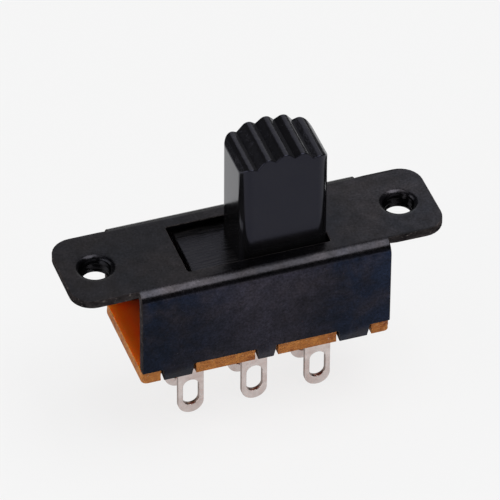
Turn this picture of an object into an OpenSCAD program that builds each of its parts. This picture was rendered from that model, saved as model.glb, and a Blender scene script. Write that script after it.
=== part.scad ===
// Panel slide switch with six solder lugs
// A folded sheet frame is clinched over a laminate base and holds a moulded slider with sprung contacts.
// Origin: centre of the panel face of the flange. X runs along the travel, Z up through the knob.

/* [Frame] */
// Length of the flange from ear end to ear end
flange_l = 34.93; // [32:0.01:44]
// Distance between the two screw holes
screw_pitch = 28.58; // [27.6:0.01:30]
// Tapping bore of the screw holes
screw_bore = 2.5; // [1.6:0.1:3.2]
// Radius of the edge rolled into each screw hole
lip_r = 0.6; // [0.2:0.05:0.7]
// Depth of the screw collar under the ear
collar_h = 0.85; // [0.3:0.05:1.5]
// Wall of the screw collar
collar_wall = 0.5; // [0.3:0.05:0.8]
// Length of the folded body
body_l = 23.4; // [23:0.1:24.4]
// Width of the body over both skirts
body_w = 10.9; // [10.4:0.1:14]
// Height from the panel face to the lower edge of the skirts
skirt_h = 8.9; // [7.6:0.05:12]
// Thickness of the sheet
sheet_t = 0.8; // [0.6:0.05:1]
// Inside radius of the folds
bend_r = 0.45; // [0.1:0.05:0.6]
// Width of the ears
ear_w = 9; // [7:0.1:9.6]
// Corner radius of the ears
ear_corner_r = 2.1; // [0.5:0.1:3.5]

/* [Clinch tabs] */
// Distance of the outer tabs from the middle
side_tab_x = 8.3; // [6:0.1:9.4]
// Width of the outer tabs at their root
side_tab_w = 2.95; // [1.5:0.05:3.6]
// Width of the middle tabs at their root
mid_tab_w = 1.8; // [1:0.05:3]
// Amount by which a tab narrows on each side
tab_taper = 0.15; // [0:0.05:0.3]
// Straight length of a tab before it is clinched inwards
tab_root = 0.4; // [0.2:0.05:0.8]
// Angle of the clinched end
tab_lean = 12; // [8:1:25]
// Length of a tab below the base
tab_reach = 0.2; // [0:0.05:0.5]
// Gap beside a tab in its notch
notch_gap = 0.2; // [0.1:0.05:0.4]
// Gap behind a tab in its notch
notch_fit = 0.04; // [0.02:0.01:0.1]

/* [Base] */
// Thickness of the laminate
base_t = 1.2; // [1:0.01:2.4]
// Setback of the base's long edges from the skirts
base_inset = 0.1; // [0:0.05:0.3]
// Corner radius of the base
base_corner_r = 0.5; // [0.2:0.05:1]

/* [Slider] */
// Travel between the two positions
travel = 5.08; // [4.2:0.01:5.4]
// Width of the knob along the travel
knob_w = 8.25; // [7.2:0.05:8.4]
// Depth of the knob across the travel
knob_d = 5.85; // [4:0.05:6.2]
// Height of the knob above the panel face
knob_h = 10.65; // [7:0.05:14]
// Radius of the knob's upright edges
knob_edge_r = 1.1; // [0.2:0.05:1.4]
// Number of ribs on the knob
rib_count = 5; // [3:1:7]
// Distance between neighbouring ribs
rib_pitch = 1.74; // [1.5:0.01:1.9]
// Radius of a rib's crest
rib_r = 0.75; // [0.5:0.05:0.85]
// Depth of the valleys between ribs
rib_depth = 0.5; // [0.2:0.05:0.6]
// Radius of the arch that the crests follow
arch_r = 6.8; // [6:0.1:14]
// Thickness of the carriage plate
carriage_t = 2.05; // [1.6:0.05:2.6]
// Gap that shows between the carriage and the end of the slot at full travel
slot_show = 0.75; // [0.3:0.05:0.9]
// Corner radius of the carriage
carriage_corner_r = 0.4; // [0.2:0.05:1]
// Wall around each contact strip
pocket_wall = 0.55; // [0.4:0.05:0.9]
// Plastic above each spring
spring_roof = 1.4; // [0.8:0.05:2.2]
// Gap between the knob and the long sides of the slot
slot_gap = 0.3; // [0.1:0.05:0.7]
// Gap left at each stop
stop_gap = 0.04; // [0.02:0.01:0.1]
// Gap between the carriage and the plate above it
top_gap = 0.15; // [0.05:0.05:0.4]
// Gap between the carriage and the skirts
side_gap = 0.2; // [0.15:0.05:0.4]
// Gap between the carriage walls and the contacts below
floor_gap = 0.2; // [0.1:0.05:0.35]

/* [Terminals] */
// Distance between neighbouring terminals of a row
terminal_pitch = 6.05; // [5.6:0.01:6.6]
// Thickness of the terminal stock
lug_t = 0.5; // [0.3:0.05:0.8]
// Width of a lug
lug_w = 2.45; // [2.2:0.05:3.2]
// Length of a lug below the base
lug_l = 7.6; // [5.5:0.02:12]
// Width of the eyelet
eye_w = 1.5; // [1:0.05:1.8]
// Length of the eyelet
eye_l = 2.9; // [2:0.05:4]
// Metal left between the eyelet and the tip
eye_rim = 0.95; // [0.5:0.05:1.4]
// Width of the neck that passes through the base
neck_w = 1.8; // [1.2:0.05:2.1]
// Length of the contact folded over on top of the base
contact_l = 1.5; // [1:0.05:2]
// Gap around a neck in its slot
neck_gap = 0.05; // [0.02:0.01:0.15]

/* [Contact strips] */
// Width of a strip
strip_w = 1.8; // [1.2:0.05:2.1]
// Thickness of a strip
strip_t = 0.4; // [0.25:0.05:0.5]
// Reach of a strip past the centre of the outer terminal it serves
strip_land = 0.25; // [0:0.05:0.5]
// Length of a strip's turned-up toe
toe_l = 0.7; // [0.4:0.05:0.75]
// Rise of a strip's turned-up toe
toe_rise = 0.3; // [0.1:0.05:0.45]
// Height of the boss that centres the spring
boss_h = 0.35; // [0.2:0.05:0.5]
// Gap around a strip in its pocket
strip_gap = 0.1; // [0.05:0.05:0.2]
// Gap between a strip and the contacts it runs on
contact_gap = 0.04; // [0.02:0.01:0.1]

/* [Springs] */
// Outside diameter of a spring
spring_d = 1.7; // [1.4:0.05:1.75]
// Diameter of the spring wire
wire_d = 0.25; // [0.15:0.01:0.3]
// Number of turns
spring_turns = 6; // [4:1:8]
// Gap around a spring and between it and its boss
spring_gap = 0.12; // [0.05:0.01:0.15]
// Gap at each end of a spring
spring_end_gap = 0.02; // [0.01:0.01:0.05]

/* [Hidden] */
$fn = 64;
eps = 0.01;
through = 50;
rows = ["front", "rear"];
cols = ["left", "middle", "right"];

// Folded sheet
fold_r = bend_r + sheet_t;
inner_w = body_w - 2 * sheet_t;
lip = min(lip_r, 0.8 * sheet_t);
base_top = -skirt_h;
base_bottom = base_top - base_t;
base_w = body_w - 2 * base_inset;
tab_knee = base_top - tab_root;
tab_tip = base_bottom - tab_reach;
tab_shift = (tab_knee - tab_tip) * tan(tab_lean);
notch_shift = (tab_knee - base_bottom) * tan(tab_lean);

// Slider
slot_l = knob_w + travel + 2 * stop_gap;
slot_w = knob_d + 2 * slot_gap;
carriage_l = slot_l + travel - 2 * slot_show;
carriage_w = inner_w - 2 * side_gap;
carriage_top = -sheet_t - top_gap;
carriage_bottom = carriage_top - carriage_t;
arch_z = knob_h - arch_r;

// Contacts, from the skirts inwards and from the base upwards
contact_top = base_top + lug_t;
strip_y = carriage_w / 2 - pocket_wall - strip_gap - strip_w / 2;
row_y = strip_y - contact_l / 2 - lug_t / 2;
strip_bottom = contact_top + contact_gap;
strip_top = strip_bottom + strip_t;
strip_flat = 2 * (terminal_pitch - travel / 2 + strip_land);
strip_l = strip_flat + 2 * toe_l;
pocket_l = strip_l + 2 * strip_gap;
pocket_w = strip_w + 2 * strip_gap;
pocket_bottom = contact_top + floor_gap;
pocket_top = strip_top + toe_rise + strip_gap;
spring_bottom = strip_top + spring_end_gap;
spring_top = carriage_top - spring_roof - spring_end_gap;
boss_d = spring_d - 2 * wire_d - 2 * spring_gap;

// Rectangle with round corners, centred
module round_rect(l, w, r) {
    square([l, w - 2 * r], center = true);
    square([l - 2 * r, w], center = true);
    for (x = [-1, 1], y = [-1, 1]) translate([x * (l / 2 - r), y * (w / 2 - r)]) circle(r);
}

// Slot with round ends that stands upright, centred
module upright_slot(w, l) {
    square([w, l - w], center = true);
    for (y = [-1, 1]) translate([0, y * (l - w) / 2]) circle(d = w);
}

// A profile drawn in Y and Z, run along X and centred
module along_x(l) {
    rotate([90, 0, 90]) translate([0, 0, -l / 2]) linear_extrude(l) children();
}

// A profile drawn in X and Z, run along Y and centred
module along_y(w) {
    rotate([90, 0, 0]) translate([0, 0, -w / 2]) linear_extrude(w) children();
}

// The same piece on the front and on the rear side
module both_sides() {
    children();
    mirror([0, 1, 0]) children();
}

// Section of the body: an arch with two round folds, open below
module body_section() {
    difference() {
        body_outline(body_w, fold_r, 0);
        body_outline(inner_w, bend_r, sheet_t);
    }
}

module body_outline(w, r, drop) {
    translate([-w / 2, -skirt_h - drop]) square([w, skirt_h - r]);
    translate([-w / 2 + r, -skirt_h]) square([w - 2 * r, skirt_h - drop]);
    for (y = [-1, 1]) translate([y * (w / 2 - r), -drop - r]) circle(r);
}

// One clinched tab of the rear skirt, straight and then leaning inwards
module tab(x, w) {
    outer = body_w / 2;
    inner = inner_w / 2;
    intersection() {
        translate([x, 0, 0]) along_x(w) polygon([
            [outer, base_top + sheet_t],
            [outer, tab_knee],
            [outer - tab_shift, tab_tip],
            [inner - tab_shift, tab_tip],
            [inner, tab_knee],
            [inner, base_top + sheet_t]
        ]);
        translate([x, 0, 0]) along_y(2 * body_w) polygon([
            [-w / 2, base_top + sheet_t],
            [w / 2, base_top + sheet_t],
            [w / 2, base_top],
            [w / 2 - tab_taper, tab_tip],
            [-w / 2 + tab_taper, tab_tip],
            [-w / 2, base_top]
        ]);
    }
}

// Room for one tab in the rear edge of the base, with the wall crushed to the tab's lean
module notch(x, w) {
    wall = inner_w / 2 - notch_fit;
    translate([x, 0, 0]) along_x(w + 2 * notch_gap) polygon([
        [body_w, base_top + eps],
        [wall, base_top + eps],
        [wall, tab_knee],
        [wall - notch_shift, base_bottom],
        [wall - notch_shift, base_bottom - eps],
        [body_w, base_bottom - eps]
    ]);
}

// Screw hole: the bore and the rolled edge above it
module screw_hole() {
    r = screw_bore / 2;
    translate([0, 0, -through / 2]) cylinder(h = through, r = r);
    rotate_extrude() difference() {
        translate([0, -lip]) square([r + lip, lip + eps]);
        translate([r + lip, -lip]) circle(lip);
    }
}

// Both ears, each with its root just inside the end of the body
module ears_outline() {
    difference() {
        round_rect(flange_l, ear_w, ear_corner_r);
        square([body_l - 2 * eps, 2 * ear_w], center = true);
    }
}

module frame() {
    color("#2b2c31") difference() {
        union() {
            along_x(body_l) body_section();
            translate([0, 0, -sheet_t]) linear_extrude(sheet_t) ears_outline();
            for (x = [-1, 1]) translate([x * screw_pitch / 2, 0, -sheet_t - collar_h])
                cylinder(h = collar_h + sheet_t / 2, d = screw_bore + 2 * collar_wall);
            both_sides() {
                tab(0, mid_tab_w);
                for (x = [-1, 1]) tab(x * side_tab_x, side_tab_w);
            }
        }
        translate([0, 0, -sheet_t - eps])
            linear_extrude(sheet_t + 2 * eps) square([slot_l, slot_w], center = true);
        for (x = [-1, 1]) translate([x * screw_pitch / 2, 0, 0]) screw_hole();
    }
}

module base_plate() {
    color("#b8702c") difference() {
        translate([0, 0, base_bottom]) linear_extrude(base_t) round_rect(body_l, base_w, base_corner_r);
        both_sides() {
            notch(0, mid_tab_w);
            for (x = [-1, 1]) notch(x * side_tab_x, side_tab_w);
            for (x = [-1, 0, 1]) translate([x * terminal_pitch, row_y, base_bottom - eps])
                linear_extrude(base_t + 2 * eps)
                    square([neck_w + 2 * neck_gap, lug_t + 2 * neck_gap], center = true);
        }
    }
}

// Front view of the knob: straight sides and ribs that follow an arch
module knob_face() {
    intersection() {
        translate([-knob_w / 2, carriage_bottom]) square([knob_w, knob_h - carriage_bottom]);
        union() {
            translate([-knob_w / 2, carriage_bottom]) square([knob_w, arch_z - carriage_bottom]);
            translate([0, arch_z]) circle(arch_r - rib_depth);
            for (i = [0 : rib_count - 1]) {
                x = (i - (rib_count - 1) / 2) * rib_pitch;
                translate([x, arch_z + sqrt(pow(arch_r - rib_r, 2) - x * x)]) circle(rib_r);
            }
        }
    }
}

module knob() {
    intersection() {
        along_y(knob_d) knob_face();
        translate([0, 0, carriage_bottom])
            linear_extrude(knob_h - carriage_bottom) round_rect(knob_w, knob_d, knob_edge_r);
    }
}

// Walls of one contact pocket, hanging under the carriage on the rear side
module contact_pocket() {
    l = pocket_l + 2 * pocket_wall;
    w = pocket_w + 2 * pocket_wall;
    translate([-l / 2, strip_y - w / 2, pocket_bottom]) cube([l, w, carriage_bottom - pocket_bottom + eps]);
}

// Room for one strip and its spring
module contact_room() {
    translate([-pocket_l / 2, strip_y - pocket_w / 2, pocket_bottom - eps])
        cube([pocket_l, pocket_w, pocket_top - pocket_bottom + eps]);
    translate([0, strip_y, pocket_bottom])
        cylinder(h = carriage_top - spring_roof - pocket_bottom, d = spring_d + 2 * spring_gap);
}

module slider() {
    color("#1a1a1c") translate([travel / 2, 0, 0]) difference() {
        union() {
            knob();
            translate([0, 0, carriage_bottom])
                linear_extrude(carriage_t) round_rect(carriage_l, carriage_w, carriage_corner_r);
            both_sides() contact_pocket();
        }
        both_sides() contact_room();
    }
}

// Flat outline of a terminal below the top of the base: neck, shoulders, lug and eyelet
module lug_outline() {
    tip = base_bottom - lug_l;
    difference() {
        union() {
            translate([-neck_w / 2, base_bottom - lug_w / 2]) square([neck_w, base_t + lug_w / 2]);
            translate([-lug_w / 2, tip + lug_w / 2]) square([lug_w, lug_l - lug_w / 2]);
            translate([0, tip + lug_w / 2]) circle(d = lug_w);
        }
        translate([0, tip + eye_rim + eye_l / 2]) upright_slot(eye_w, eye_l);
    }
}

// Contact folded over on top of the base, with a round outside to the fold
module contact_section() {
    intersection() {
        circle(lug_t);
        translate([-lug_t, 0]) square(lug_t);
    }
    square([contact_l, lug_t]);
}

// One terminal of the rear row
module terminal_shape() {
    translate([0, row_y, 0]) along_y(lug_t) lug_outline();
    translate([0, row_y + lug_t / 2, base_top]) along_x(neck_w) contact_section();
}

module terminal(row, col) {
    x = (search([col], cols)[0] - 1) * terminal_pitch;
    color("#c9bdb8") translate([x, 0, 0]) mirror([0, row == "front" ? 1 : 0, 0]) terminal_shape();
}

// Side view of a strip: flat sole with a turned-up toe at each end
module strip_section() {
    half = strip_flat / 2;
    polygon([
        [-half - toe_l, strip_bottom + toe_rise],
        [-half, strip_bottom],
        [half, strip_bottom],
        [half + toe_l, strip_bottom + toe_rise],
        [half + toe_l, strip_top + toe_rise],
        [half, strip_top],
        [-half, strip_top],
        [-half - toe_l, strip_top + toe_rise]
    ]);
}

module bridge_shape() {
    translate([0, strip_y, 0]) difference() {
        union() {
            along_y(strip_w) strip_section();
            translate([0, 0, strip_top - strip_t / 2]) cylinder(h = boss_h + strip_t / 2, d = boss_d);
        }
        translate([0, 0, strip_bottom - eps]) cylinder(h = boss_h + eps, d = boss_d / 2);
    }
}

module bridge(row) {
    color("#c98f4a") translate([travel / 2, 0, 0]) mirror([0, row == "front" ? 1 : 0, 0]) bridge_shape();
}

// Coil swept as rings of points along a helix
module coil(coil_d, wire, height, turns) {
    steps = 16 * turns;
    sides = 8;
    r = (coil_d - wire) / 2;
    ring = [for (j = [0 : sides - 1]) [cos(360 * j / sides), sin(360 * j / sides)] * wire / 2];
    points = [for (i = [0 : steps]) for (p = ring) let (a = 360 * turns * i / steps) [
        (r + p[0]) * cos(a),
        (r + p[0]) * sin(a),
        wire / 2 + (height - wire) * i / steps + p[1]
    ]];
    walls = [for (i = [0 : steps - 1]) for (j = [0 : sides - 1])
        let (k = (j + 1) % sides, a = i * sides, b = a + sides)
        for (f = [[a + j, b + j, b + k], [a + j, b + k, a + k]]) f];
    caps = [
        [for (j = [0 : sides - 1]) j],
        [for (j = [sides - 1 : -1 : 0]) steps * sides + j]
    ];
    polyhedron(points, concat(walls, caps));
}

module spring(row) {
    side = row == "front" ? -1 : 1;
    color("#b9bcc2") translate([travel / 2, side * strip_y, spring_bottom])
        coil(spring_d, wire_d, spring_top - spring_bottom, spring_turns);
}

frame();
base_plate();
slider();
for (row = rows) for (col = cols)
    terminal(row, col);
for (row = rows) bridge(row);
for (row = rows) spring(row);
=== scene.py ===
import math

import bmesh
import bpy
from mathutils import Matrix, Vector


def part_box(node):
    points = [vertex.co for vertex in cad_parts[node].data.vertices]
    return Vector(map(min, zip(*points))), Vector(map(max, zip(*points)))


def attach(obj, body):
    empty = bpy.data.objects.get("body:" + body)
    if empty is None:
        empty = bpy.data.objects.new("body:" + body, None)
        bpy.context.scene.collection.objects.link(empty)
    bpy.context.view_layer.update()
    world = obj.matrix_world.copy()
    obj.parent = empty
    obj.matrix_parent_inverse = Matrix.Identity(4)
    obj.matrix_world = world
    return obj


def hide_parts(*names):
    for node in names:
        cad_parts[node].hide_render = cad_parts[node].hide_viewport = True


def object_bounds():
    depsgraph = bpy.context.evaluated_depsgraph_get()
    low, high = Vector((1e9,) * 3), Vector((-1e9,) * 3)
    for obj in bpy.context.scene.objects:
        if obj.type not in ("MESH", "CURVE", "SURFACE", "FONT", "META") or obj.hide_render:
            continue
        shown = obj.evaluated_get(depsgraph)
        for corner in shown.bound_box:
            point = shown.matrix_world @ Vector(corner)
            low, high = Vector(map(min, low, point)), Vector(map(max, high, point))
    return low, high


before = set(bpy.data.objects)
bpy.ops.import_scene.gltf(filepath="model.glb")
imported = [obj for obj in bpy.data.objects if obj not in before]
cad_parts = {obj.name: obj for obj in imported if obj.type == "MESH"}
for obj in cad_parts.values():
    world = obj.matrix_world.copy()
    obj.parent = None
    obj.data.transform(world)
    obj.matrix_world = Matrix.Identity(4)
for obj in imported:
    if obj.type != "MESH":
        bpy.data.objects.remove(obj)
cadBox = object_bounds()
print("frame loaded:", len(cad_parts), "nodes")

# The pieces are modelled in millimetres, one unit each, and shrunk to metres when they are done.
toMetres = 0.001
slack = 0.005  # how near counts as being on a line or plane
straight = 0.99  # share of an edge along an axis from which it counts as running along it
square = 0.9  # the same for a face's normal
overrun = 1  # how far a cutting tool runs past what it cuts
scene = bpy.context.scene
scene.view_settings.view_transform = "Standard"


def nodeBox(name):
    low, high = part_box(name)
    return low / toMetres, high / toMetres


def near(a, b, margin=slack):
    return abs(a - b) < margin


def objectMode():
    if bpy.context.object and bpy.context.object.mode != "OBJECT":
        bpy.ops.object.mode_set(mode="OBJECT")
    bpy.ops.object.select_all(action="DESELECT")


def activate(piece):
    objectMode()
    bpy.context.view_layer.objects.active = piece
    piece.select_set(True)


def editMode(piece):
    activate(piece)
    bpy.ops.object.mode_set(mode="EDIT")


def applyTransform():
    bpy.ops.object.transform_apply(location=True, rotation=True, scale=True)


def middle(item):
    points = [v.co for v in item.verts]
    return sum(points, Vector()) / len(points)


def pick(piece, kind, test):  # edit mode: selects the verts, edges or faces that pass the test
    bpy.ops.mesh.select_mode(type=kind)
    bpy.ops.mesh.select_all(action="DESELECT")
    mesh = bmesh.from_edit_mesh(piece.data)
    items = {"VERT": mesh.verts, "EDGE": mesh.edges, "FACE": mesh.faces}[kind]
    mesh.normal_update()
    count = 0
    for item in items:
        if test(item):
            item.select_set(True)
            count += 1
    mesh.select_flush_mode()
    bmesh.update_edit_mesh(piece.data)
    return count


def growEdges(shift):  # edit mode: extrudes the picked edges
    bpy.ops.mesh.extrude_edges_move(TRANSFORM_OT_translate={"value": shift})


def growFaces(shift):  # edit mode: extrudes the picked faces
    bpy.ops.mesh.extrude_region_move(TRANSFORM_OT_translate={"value": shift})


def turnOutward():  # edit mode: makes all normals point outward
    bpy.ops.mesh.select_all(action="SELECT")
    bpy.ops.mesh.normals_make_consistent(inside=False)


def span(edge):
    return edge.verts[0].co - edge.verts[1].co


def runsAlong(edge, axis):
    length = span(edge).length
    return length > slack and abs(span(edge)[axis]) > straight * length


def upright(edge):
    return runsAlong(edge, 2)


def addBlock(name, low, high):  # a cube at its size and place
    objectMode()
    low, high = Vector(low), Vector(high)
    bpy.ops.mesh.primitive_cube_add(size=1, location=(low + high) / 2)
    block = bpy.context.object
    block.name = name
    block.data.name = name
    block.scale = high - low
    applyTransform()
    return block


def addDrum(name, radius, low, high, across, sides=32):  # an upright cylinder
    objectMode()
    place = (*across, (low + high) / 2)
    bpy.ops.mesh.primitive_cylinder_add(vertices=sides, radius=radius, depth=high - low, location=place)
    drum = bpy.context.object
    drum.name = name
    applyTransform()
    return drum


def useModifier(piece, kind, **settings):
    activate(piece)
    modifier = piece.modifiers.new(kind.lower(), kind)
    for key, value in settings.items():
        setattr(modifier, key, value)
    bpy.ops.object.modifier_apply(modifier=modifier.name)


def combine(piece, tool, operation):  # boolean with a tool that is then thrown away
    useModifier(piece, "BOOLEAN", object=tool, operation=operation, solver="EXACT")
    bpy.data.objects.remove(tool)


def breakEdges(piece, width, segments, angle=40, material=-1):  # rounds what turns by more than the angle
    useModifier(piece, "BEVEL", width=width, segments=segments, limit_method="ANGLE",
                angle_limit=math.radians(angle), material=material)


def bevelPicked(radius, segments, affect="EDGES", clamp=False):
    bpy.ops.mesh.bevel(offset=radius, segments=segments, affect=affect, clamp_overlap=clamp)


def roundEdges(piece, test, radius, segments, clamp=True):
    editMode(piece)
    if pick(piece, "EDGE", test):
        bevelPicked(radius, segments, clamp=clamp)
    objectMode()


def splitAt(piece, axis, places, test):  # bisects the faces that pass the test at each place on the axis
    normal = [0, 0, 0]
    normal[axis] = 1
    editMode(piece)
    for place in places:
        point = [0, 0, 0]
        point[axis] = place
        pick(piece, "FACE", test)
        bpy.ops.mesh.bisect(plane_co=point, plane_no=normal)
    objectMode()


def anyFace(face):
    return True


def dress(piece, *materials):
    for material in materials:
        piece.data.materials.append(material)


def paint(piece, index, test):  # gives the faces that pass the test another material slot
    editMode(piece)
    if pick(piece, "FACE", test):
        piece.active_material_index = index
        bpy.ops.object.material_slot_assign()
    objectMode()


def settle(piece, smoothAngle=40):  # metres and smooth shading
    activate(piece)
    piece.scale = (toMetres, toMetres, toMetres)
    applyTransform()
    bpy.ops.object.shade_smooth_by_angle(angle=math.radians(smoothAngle))


def smoothFlats(piece):  # keeps flat faces flat beside their rounded edges
    useModifier(piece, "WEIGHTED_NORMAL", keep_sharp=True, weight=80)


def fit(piece, node, body):
    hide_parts(node)
    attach(piece, body)


# Shader nodes
def plug(tree, socket, value):  # a number or colour is set, an output is linked
    if isinstance(value, (int, float, tuple)):
        socket.default_value = value
    else:
        tree.links.new(value, socket)


def feed(tree, node, values):  # inputs by name
    for key, value in values.items():
        plug(tree, node.inputs[key], value)


def addNode(tree, kind, values=None):
    node = tree.nodes.new(kind)
    feed(tree, node, values or {})
    return node


def addMath(tree, operation, *values):
    node = addNode(tree, "ShaderNodeMath")
    node.operation = operation
    for socket, value in zip(node.inputs, values):
        plug(tree, socket, value)
    return node.outputs[0]


def times(tree, first, second):
    return addMath(tree, "MULTIPLY", first, second)


def addRange(tree, source, limits):  # 0 at the first limit and 1 at the second, both in millimetres
    start, end = limits
    given = {"Value": source, "From Min": start * toMetres, "From Max": end * toMetres}
    return addNode(tree, "ShaderNodeMapRange", given).outputs["Result"]


def addRamp(tree, source, stops):  # stops are (place, grey or colour)
    ramp = addNode(tree, "ShaderNodeValToRGB", {"Fac": source})
    elements = ramp.color_ramp.elements
    while len(elements) < len(stops):
        elements.new(0.5)
    for element, (place, tone) in zip(elements, stops):
        element.position = place
        element.color = (*tone, 1) if isinstance(tone, tuple) else (tone, tone, tone, 1)
    return ramp.outputs["Color"]


def addMix(tree, factor, first, second, blend="MIX"):
    mix = addNode(tree, "ShaderNodeMix")
    mix.data_type = "RGBA"
    mix.blend_type = blend
    for name, value in (("Factor_Float", factor), ("A_Color", first), ("B_Color", second)):
        socket = next(s for s in mix.inputs if s.identifier == name)
        plug(tree, socket, (*value, 1) if isinstance(value, tuple) else value)
    return next(s for s in mix.outputs if s.identifier == "Result_Color")


def addBump(tree, bsdf, height, strength, depth):  # depth in millimetres
    given = {"Strength": strength, "Distance": depth * toMetres, "Height": height}
    feed(tree, bsdf, {"Normal": addNode(tree, "ShaderNodeBump", given).outputs["Normal"]})


def splitPlace(tree, place):
    return addNode(tree, "ShaderNodeSeparateXYZ", {"Vector": place}).outputs


def newMaterial(name):
    material = bpy.data.materials.new(name)
    material.use_nodes = True
    tree = material.node_tree
    place = addNode(tree, "ShaderNodeTexCoord").outputs["Object"]
    return material, tree, tree.nodes["Principled BSDF"], place


def newGroup(name, numbers, results):  # a place and numbers go in, masks come out
    tree = bpy.data.node_groups.new(name, "ShaderNodeTree")
    tree.interface.new_socket("Place", in_out="INPUT", socket_type="NodeSocketVector")
    for key in numbers:
        tree.interface.new_socket(key, in_out="INPUT", socket_type="NodeSocketFloat")
    for key in results:
        tree.interface.new_socket(key, in_out="OUTPUT", socket_type="NodeSocketFloat")
    return tree, addNode(tree, "NodeGroupInput").outputs, addNode(tree, "NodeGroupOutput")


def useGroup(tree, group, values):
    node = addNode(tree, "ShaderNodeGroup")
    node.node_tree = group
    feed(tree, node, values)
    return node.outputs


def perMillimetre(size):  # noise scale for blotches of this size in millimetres
    return 1 / (size * toMetres)


maskStops = {  # where each mask turns on
    "blotch": [(0.32, 0.0), (0.68, 1.0)], "speck": [(0.05, 1.0), (0.22, 0.0)],
    "line": [(0.42, 0.0), (0.62, 1.0)], "bare": [(0.92, 0.0), (1.0, 1.0)],
}


def addNoise(tree, place, scale, detail, roughness, distortion=0.0):
    given = {"Vector": place, "Scale": scale, "Detail": detail, "Roughness": roughness,
             "Distortion": distortion}
    return addNode(tree, "ShaderNodeTexNoise", given).outputs["Fac"]


# Blotches and fine grain, shared by every finish
def makeMottle():
    tree, given, end = newGroup("mottle", ("Blotch Scale", "Grain Scale"), ("Blotch", "Grain", "Speck"))
    place, fine = given["Place"], given["Grain Scale"]
    blotch = addNoise(tree, place, given["Blotch Scale"], detail=4.0, roughness=0.62, distortion=0.4)
    grain = addNoise(tree, place, fine, detail=3.0, roughness=0.7)
    cells = addNode(tree, "ShaderNodeTexVoronoi", {"Vector": place, "Scale": fine})
    feed(tree, end, {"Blotch": addRamp(tree, blotch, maskStops["blotch"]), "Grain": grain,
                     "Speck": addRamp(tree, cells.outputs["Distance"], maskStops["speck"])})
    return tree


# Long thin lines that run along X, as sliding, drawing or rolling leaves them
def makeStreaks():
    tree, given, end = newGroup("streaks", ("Line Scale", "Stretch"), ("Line",))
    stretch = addNode(tree, "ShaderNodeCombineXYZ", {"X": given["Stretch"], "Y": 1.0, "Z": 1.0})
    drawn = addNode(tree, "ShaderNodeVectorMath")
    drawn.operation = "MULTIPLY"
    plug(tree, drawn.inputs[0], given["Place"])
    plug(tree, drawn.inputs[1], stretch.outputs[0])
    line = addNoise(tree, drawn.outputs[0], given["Line Scale"], detail=3.0, roughness=0.6)
    feed(tree, end, {"Line": addRamp(tree, line, maskStops["line"])})
    return tree


# Mask of the spots where a finish has rubbed through
def makeWear():
    tree, given, end = newGroup("wear", ("Spot Scale", "Amount"), ("Bare",))
    spots = addNoise(tree, given["Place"], given["Spot Scale"], detail=5.0, roughness=0.75)
    raised = addMath(tree, "ADD", spots, given["Amount"])
    feed(tree, end, {"Bare": addRamp(tree, raised, maskStops["bare"])})
    return tree


mottle = makeMottle()
streaks = makeStreaks()
wear = makeWear()
print("shader groups made")


def useMottle(tree, place, blotch, grain=0.2):  # sizes in millimetres, here and below
    given = {"Place": place, "Blotch Scale": perMillimetre(blotch), "Grain Scale": perMillimetre(grain)}
    return useGroup(tree, mottle, given)


def useStreaks(tree, place, line, stretch):
    given = {"Place": place, "Line Scale": perMillimetre(line), "Stretch": stretch}
    return useGroup(tree, streaks, given)["Line"]


def useWear(tree, place, amount, spot=0.35):
    given = {"Place": place, "Spot Scale": perMillimetre(spot), "Amount": amount}
    return useGroup(tree, wear, given)["Bare"]


# Black oxide on rolled steel
oxideLook = {
    "top": ((0.0235, 0.0207, 0.0228), (0.0130, 0.0137, 0.0180)),  # two tones that run into each other
    "skirt": ((0.0180, 0.0155, 0.0205), (0.0055, 0.0088, 0.0195)),
    "skirtBlend": [(0.0, 0.1), (0.6, 1.0)],  # the skirts are mostly the second tone
    "skirtBlue": [(0.28, 1.0), (0.42, 0.3), (0.58, 0.3), (0.70, 1.0)],  # less of it in the middle
    "cut": ((0.019, 0.016, 0.017), (0.038, 0.033, 0.033)),
    "bare": (0.26, 0.235, 0.22), "bareCut": (0.115, 0.100, 0.095),
    "blotch": 5.0, "patch": 1.3, "grain": 0.22, "line": 0.3,  # millimetres
    "stretch": 0.12,
    "length": (-17.5, 17.5), "fold": (4.15, 4.35), "skirtTop": (-0.45, -0.9),  # zones, millimetres
    "boreTop": (-0.25, -0.5), "fade": (-0.9, -4.5),
    "topPaintedLight": [(0.0, 0.50), (0.5, 0.56), (0.68, 0.66), (1.0, 1.0)],  # painted light and shade along the length, from the left end on
    "foldPaintedHighlight": [(0.0, 0.62), (0.33, 0.62), (0.44, 0.36), (0.62, 0.44), (0.74, 0.53), (0.82, 0.44),
                  (0.88, 0.38)],
    "skirtPaintedLight": [(0.0, 0.55), (0.3, 0.55), (0.48, 0.95), (0.66, 0.58), (0.8, 0.85), (1.0, 1.0)],
    "skirtPaintedGlow": [(0.0, 1.5), (1.0, 1.0)],  # painted light: lighter just under the fold
    # painted shade below the top face: in the rolled bores, the slot walls and the underside
    "borePaintedShade": (0.25, 0.25, 0.25),
    "patchShade": [(0.0, 0.72), (1.0, 1.28)], "grainShade": [(0.25, 0.4), (0.75, 1.6)], "brightest": 1.35,
    "metallic": 0.92, "cutMetallic": 0.0, "specular": 0.5, "cutSpecular": 0.02,
    "grainSheen": 0.16, "lineSheen": 0.04, "pitShare": 0.35, "bump": (0.35, 0.012),
}


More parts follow.
